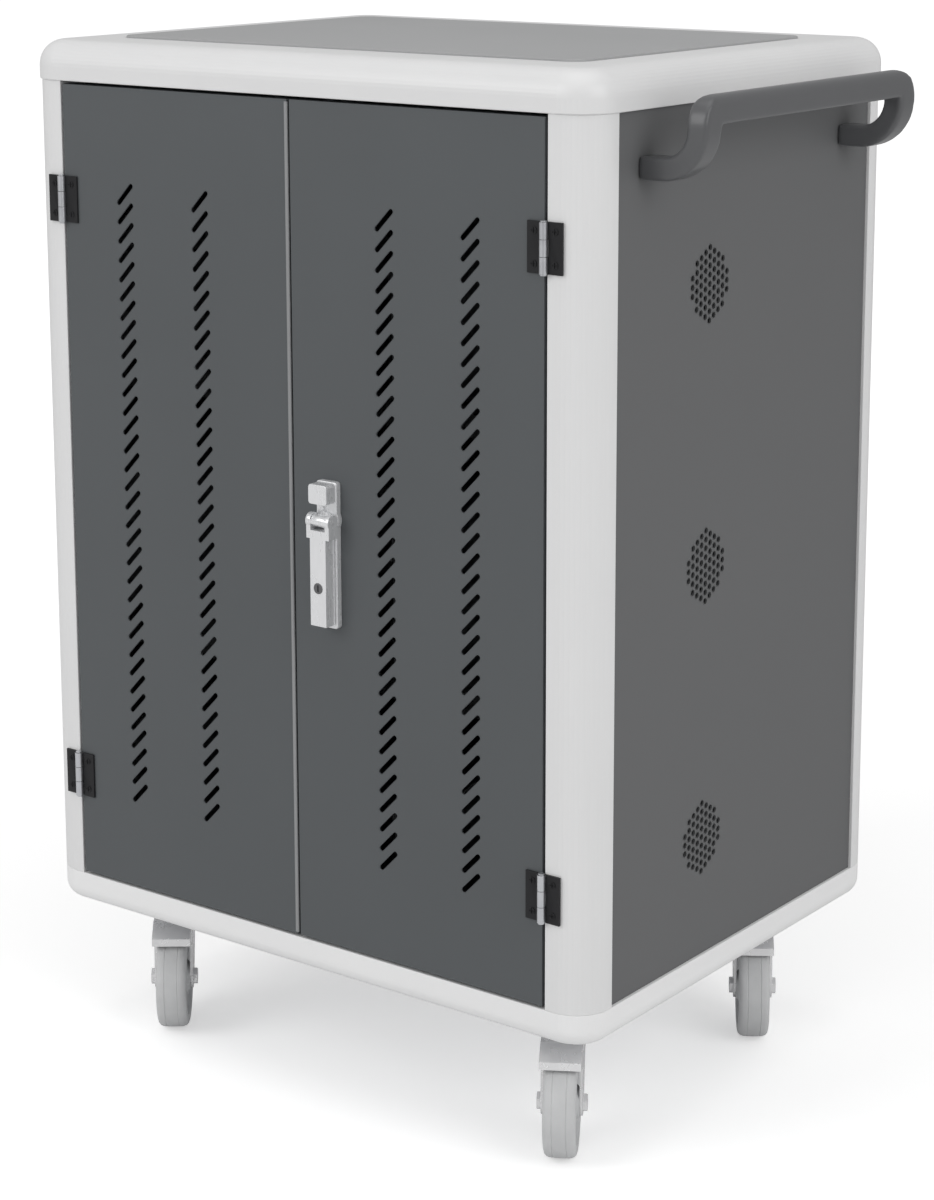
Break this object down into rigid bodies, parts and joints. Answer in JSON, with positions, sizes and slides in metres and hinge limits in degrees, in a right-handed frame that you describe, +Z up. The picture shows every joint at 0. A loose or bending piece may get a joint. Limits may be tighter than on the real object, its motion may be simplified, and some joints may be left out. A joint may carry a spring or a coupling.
{
  "type": "laptop charging cart",
  "caption": "Lockable steel charging cart for laptops: slotted front doors, upright bays with power strips behind, moulded top with a mat, side pull handle and swivel casters.",
  "frame": {"origin": "centre of the bounding box's base, on the floor under the cart", "axes": "+Z up, -Y towards the slotted double doors at the front, +X towards the side with the pull handle"},
  "size_m": [0.714, 0.5382, 0.99],
  "materials": {
    "moulded_pale": "fine satin",
    "painted_pale": "satin powder coat",
    "painted_slate": "satin powder coat",
    "mat_grey": "finely ribbed",
    "coated_grey": "matt powder coat",
    "zinc": "bright zinc plate",
    "lock_chrome": "satin chrome",
    "hinge_black": "black coat",
    "handle_slate": "satin",
    "black_plastic": "matt",
    "black_rubber": "matt",
    "duct_plastic": "matt",
    "rocker_red": "gloss",
    "wheel_grey": "matt"
  },
  "bodies": {
    "cabinet": {"base_pan": "zinc", "base_rail": "moulded_pale", "front_left_post": "painted_pale", "front_right_post": "painted_pale", "rear_left_post": "painted_pale", "rear_right_post": "painted_pale", "top_frame": "zinc", "top_shell": "moulded_pale", "top_mat": "mat_grey", "left_side_panel": "painted_slate", "right_side_panel": "painted_slate", "lower_shelf": "painted_slate", "middle_shelf": "painted_slate", "upper_shelf": "painted_slate", "lower_dividers": "coated_grey", "middle_dividers": "coated_grey", "upper_dividers": "coated_grey", "lower_partition": "painted_slate", "middle_partition": "painted_slate", "upper_partition": "painted_slate", "cable_edge_trims": "black_rubber", "lower_power_strip": "black_plastic", "middle_power_strip": "black_plastic", "upper_power_strip": "black_plastic", "charge_controller": "coated_grey", "mains_inlet": "black_plastic", "wiring_duct": "duct_plastic", "supply_leads": "black_rubber", "pull_handle": "handle_slate", "frame_hinge_leaves": "hinge_black", "hinge_pins": "zinc", "caster_plates": "zinc", "caster_bolts": "zinc"},
    "left_door": {"left_door": "painted_slate", "left_door_leaves": "hinge_black"},
    "left_bolt": {"left_door_bolt": "zinc"},
    "right_door": {"right_door": "painted_slate", "right_door_leaves": "hinge_black", "lock_plate": "lock_chrome"},
    "lock_spindle": {"lock_spindle": "lock_chrome"},
    "lock_lever": {"swing_handle": "lock_chrome"},
    "key_plug": {"key_plug": "lock_chrome"},
    "upper_rod": {"upper_lock_rod": "zinc"},
    "lower_rod": {"lower_lock_rod": "zinc"},
    "rear_door": {"rear_door": "painted_slate", "rear_door_leaves": "hinge_black"},
    "rear_lock": {"rear_door_lock": "lock_chrome"},
    "power_rocker": {"power_rocker": "rocker_red"},
    "front_left_caster": {"front_left_fork": "zinc", "front_left_axle": "zinc"},
    "front_left_wheel": {"front_left_wheel": "wheel_grey"},
    "front_right_caster": {"front_right_fork": "zinc", "front_right_axle": "zinc"},
    "front_right_wheel": {"front_right_wheel": "wheel_grey"},
    "rear_left_caster": {"rear_left_fork": "zinc", "rear_left_axle": "zinc"},
    "rear_left_wheel": {"rear_left_wheel": "wheel_grey"},
    "rear_right_caster": {"rear_right_fork": "zinc", "rear_right_axle": "zinc"},
    "rear_right_wheel": {"rear_right_wheel": "wheel_grey"}
  },
  "joints": [
    {"name": "left_door_hinge", "type": "hinge", "parent": "cabinet", "child": "left_door", "pos_m": [-0.3095, -0.25235, 0.5595], "axis": [0, 0, -1], "range_deg": [0, 170]},
    {"name": "right_door_hinge", "type": "hinge", "parent": "cabinet", "child": "right_door", "pos_m": [0.2475, -0.25235, 0.5595], "axis": [0, 0, 1], "range_deg": [0, 170]},
    {"name": "rear_door_hinge", "type": "hinge", "parent": "cabinet", "child": "rear_door", "pos_m": [-0.3095, 0.25865, 0.5595], "axis": [0, 0, 1], "range_deg": [0, 170]},
    {"name": "left_bolt_slide", "type": "slide", "parent": "left_door", "child": "left_bolt", "axis": [0, 0, -1], "range_m": [0, 0.012]},
    {"name": "lock_turn", "type": "hinge", "parent": "right_door", "child": "lock_spindle", "pos_m": [0.013, -0.24885, 0.576], "axis": [0, -1, 0], "range_deg": [0, 90]},
    {"name": "lever_lift", "type": "hinge", "parent": "lock_spindle", "child": "lock_lever", "pos_m": [0.013, -0.26215, 0.576], "axis": [-1, 0, 0], "range_deg": [0, 35]},
    {"name": "key_turn", "type": "hinge", "parent": "lock_lever", "child": "key_plug", "pos_m": [0.013, -0.26215, 0.515], "axis": [0, -1, 0], "range_deg": [0, 90]},
    {"name": "upper_rod_slide", "type": "slide", "parent": "right_door", "child": "upper_rod", "axis": [0, 0, -1], "range_m": [0, 0.0145]},
    {"name": "lower_rod_slide", "type": "slide", "parent": "right_door", "child": "lower_rod", "axis": [0, 0, 1], "range_m": [0, 0.0145]},
    {"name": "rear_lock_turn", "type": "hinge", "parent": "rear_door", "child": "rear_lock", "pos_m": [0.214, 0.25515, 0.576], "axis": [0, 1, 0], "range_deg": [0, 90]},
    {"name": "power_rocker_tilt", "type": "hinge", "parent": "cabinet", "child": "power_rocker", "pos_m": [-0.349, 0.18315, 0.238], "axis": [0, -1, 0], "range_deg": [0, 12]},
    {"name": "front_left_swivel", "type": "hinge", "parent": "cabinet", "child": "front_left_caster", "pos_m": [-0.271, -0.16085, 0.108], "axis": [0, 0, 1], "continuous": true},
    {"name": "front_left_roll", "type": "hinge", "parent": "front_left_caster", "child": "front_left_wheel", "pos_m": [-0.25561, -0.18055, 0.05], "axis": [0.788, 0.6157, 0], "continuous": true},
    {"name": "front_right_swivel", "type": "hinge", "parent": "cabinet", "child": "front_right_caster", "pos_m": [0.209, -0.16085, 0.108], "axis": [0, 0, 1], "continuous": true},
    {"name": "front_right_roll", "type": "hinge", "parent": "front_right_caster", "child": "front_right_wheel", "pos_m": [0.22188, -0.18228, 0.05], "axis": [0.8572, 0.515, 0], "continuous": true},
    {"name": "rear_left_swivel", "type": "hinge", "parent": "cabinet", "child": "rear_left_caster", "pos_m": [-0.271, 0.16715, 0.108], "axis": [0, 0, 1], "continuous": true},
    {"name": "rear_left_roll", "type": "hinge", "parent": "rear_left_caster", "child": "rear_left_wheel", "pos_m": [-0.25702, 0.14642, 0.05], "axis": [0.829, 0.5592, 0], "continuous": true},
    {"name": "rear_right_swivel", "type": "hinge", "parent": "cabinet", "child": "rear_right_caster", "pos_m": [0.209, 0.16715, 0.108], "axis": [0, 0, 1], "continuous": true},
    {"name": "rear_right_roll", "type": "hinge", "parent": "rear_right_caster", "child": "rear_right_wheel", "pos_m": [0.22298, 0.14642, 0.05], "axis": [0.829, 0.5592, 0], "continuous": true}
  ],
  "couplings": [
    {"joint": "upper_rod_slide", "follows": "lock_turn", "m_per_rad": 0.0090032},
    {"joint": "lower_rod_slide", "follows": "lock_turn", "m_per_rad": 0.0090032}
  ]
}
